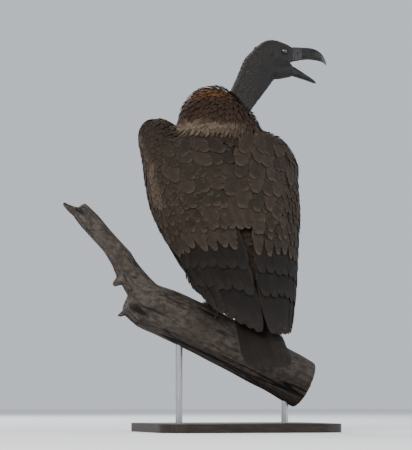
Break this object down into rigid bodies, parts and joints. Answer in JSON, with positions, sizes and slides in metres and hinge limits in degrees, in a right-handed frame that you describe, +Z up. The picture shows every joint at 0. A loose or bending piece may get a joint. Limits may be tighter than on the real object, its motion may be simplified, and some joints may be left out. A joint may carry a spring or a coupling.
{
  "type": "vulture",
  "caption": "Life-size model of a white-backed vulture gripping a sloping branch, head turned right and bill open, on a flat display stand.",
  "frame": {"origin": "centre of the underside of the stand's base, on the floor", "axes": "+Z up; the bird's breast faces -Y and its left side is +X; its bill points to -X"},
  "size_m": [0.6706, 0.4817, 0.9372],
  "materials": {
    "mantle": "dark earth-brown body and wing-covert feathers, matt",
    "flight": "blackish flight and tail feathers, slightly glossy",
    "ruff": "brown crop feathers over a pale ruff, soft and matt",
    "skin": "dark grey bare skin with sparse pale down",
    "horn": "black horn, satin",
    "cere": "dark waxy cere",
    "eye": "dark brown eye, wet gloss",
    "tongue": "moist pinkish-grey tongue",
    "leg": "dark grey scaly leg",
    "bark": "weathered dead branch, grey-brown, cracked",
    "stand_steel": "plain steel rod, satin",
    "stand_wood": "plain wooden base, black satin lacquer"
  },
  "bodies": {
    "root": {"head": "skin", "cere": "cere", "bill_upper": "horn", "bill_lower": "horn", "tongue": "tongue", "eye_left": "eye", "eye_right": "eye", "neck": "skin", "ruff": "ruff", "trunk": "mantle", "tail": "flight", "wing_left": "mantle", "wing_right": "mantle", "primaries_left": "flight", "primaries_right": "flight", "thigh_left": "mantle", "thigh_right": "mantle", "shank_left": "leg", "shank_right": "leg", "foot_left": "leg", "foot_right": "leg", "claw_left_inner": "horn", "claw_left_middle": "horn", "claw_left_outer": "horn", "claw_left_hind": "horn", "claw_right_inner": "horn", "claw_right_middle": "horn", "claw_right_outer": "horn", "claw_right_hind": "horn", "perch": "bark", "stand_rod_left": "stand_steel", "stand_rod_right": "stand_steel", "stand_base": "stand_wood"}
  },
  "joints": []
}
